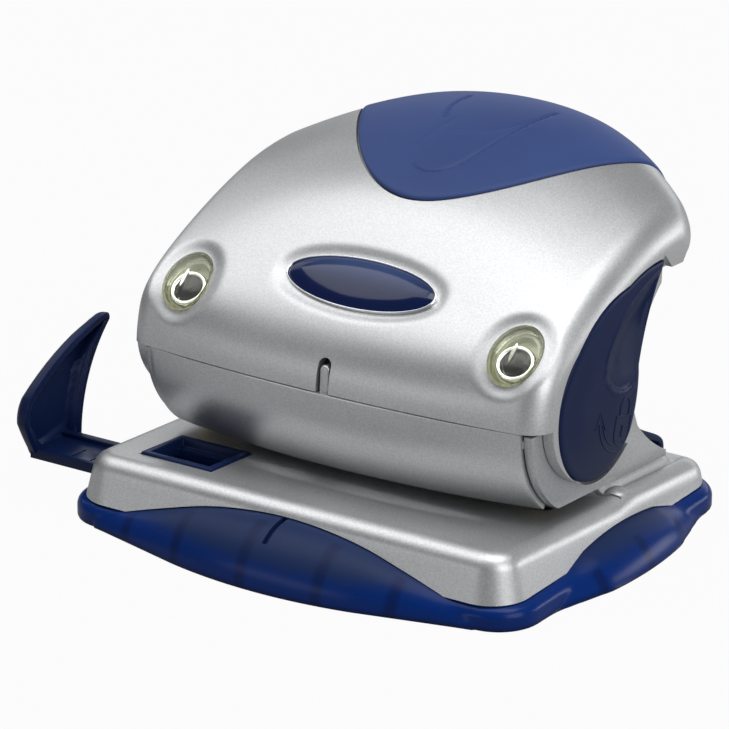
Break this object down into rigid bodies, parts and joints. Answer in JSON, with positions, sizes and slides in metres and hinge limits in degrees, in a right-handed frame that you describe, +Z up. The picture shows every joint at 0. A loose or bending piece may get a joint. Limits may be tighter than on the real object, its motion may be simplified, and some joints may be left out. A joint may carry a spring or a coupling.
{
  "type": "two-hole desk punch",
  "caption": "Hand-lever hole punch for paper: domed silver handle with a soft blue pad over two guided pins, a side lock lever, a sliding paper guide and a swing-out chip tray.",
  "frame": {"origin": "on the table plane, at the plan centre of the chip tray's band", "axes": "+X to the right side with the lock lever, -Y to the front where paper goes in, +Z up"},
  "size_m": [0.1334, 0.1104, 0.079],
  "materials": {
    "silver_paint": "satin metallic silver enamel",
    "frame_steel": "silver enamel on pressed steel",
    "tool_steel": "ground and hardened",
    "zinc_steel": "zinc plated",
    "spring_steel": "drawn spring wire and strip",
    "brass": "turned",
    "tray_blue": "translucent dark blue, glossy",
    "navy_plastic": "dark blue, satin gloss",
    "pad_blue": "soft matte blue",
    "chrome_trim": "bright plated",
    "badge_blue": "domed dark blue enamel",
    "lens_clear": "clear yellow-green moulded plastic",
    "foot_rubber": "matte"
  },
  "bodies": {
    "base": {"base_plate": "silver_paint", "support_pillars": "frame_steel", "rubber_feet": "foot_rubber", "die_plate": "tool_steel", "guide_housing": "navy_plastic", "guide_click_spring": "spring_steel", "tray_hinge_pins": "zinc_steel", "punch_frame": "frame_steel", "frame_rivets": "frame_steel", "pin_guide_bushes": "brass", "guide_posts": "zinc_steel", "pivot_studs": "frame_steel", "front_cover": "silver_paint", "rear_cover": "navy_plastic"},
    "handle": {"handle_shell": "silver_paint", "press_bar": "tool_steel", "grip_pad": "pad_blue", "nameplate_rim": "chrome_trim", "nameplate_badge": "badge_blue", "lens_left": "lens_clear", "lens_right": "lens_clear", "lens_cup_left": "chrome_trim", "lens_cup_right": "chrome_trim", "pivot_cap_left": "navy_plastic"},
    "lock": {"lock_lever": "navy_plastic"},
    "carriage": {"press_carriage": "zinc_steel", "punch_pin_left": "tool_steel", "punch_pin_right": "tool_steel", "pin_clips": "tool_steel", "pin_spring_left": "spring_steel", "pin_spring_right": "spring_steel"},
    "guide": {"paper_guide": "navy_plastic"},
    "tray": {"chip_tray": "tray_blue"}
  },
  "joints": [
    {"name": "handle_press", "type": "hinge", "parent": "base", "child": "handle", "pos_m": [0, -0.00103, 0.03453], "axis": [-1, 0, 0], "range_deg": [0, 18], "stiffness_Nm_per_rad": 2, "springref_deg": -14.32},
    {"name": "pin_stroke", "type": "slide", "parent": "base", "child": "carriage", "axis": [0, -0.0698, -0.9976], "range_m": [0, 0.0059], "deforming": ["pin_spring_left", "pin_spring_right"]},
    {"name": "lock_turn", "type": "hinge", "parent": "handle", "child": "lock", "pos_m": [0, -0.00103, 0.03453], "axis": [-1, 0, 0], "range_deg": [0, 60]},
    {"name": "guide_slide", "type": "slide", "parent": "base", "child": "guide", "axis": [-1, 0, 0], "range_m": [-0.008, 0.034]},
    {"name": "tray_swing", "type": "hinge", "parent": "base", "child": "tray", "pos_m": [0, 0.0425, 0.0048], "axis": [1, 0, 0], "range_deg": [0, 60]}
  ],
  "couplings": [
    {"joint": "pin_stroke", "follows": "handle_press", "m_per_rad": 0.01862}
  ]
}
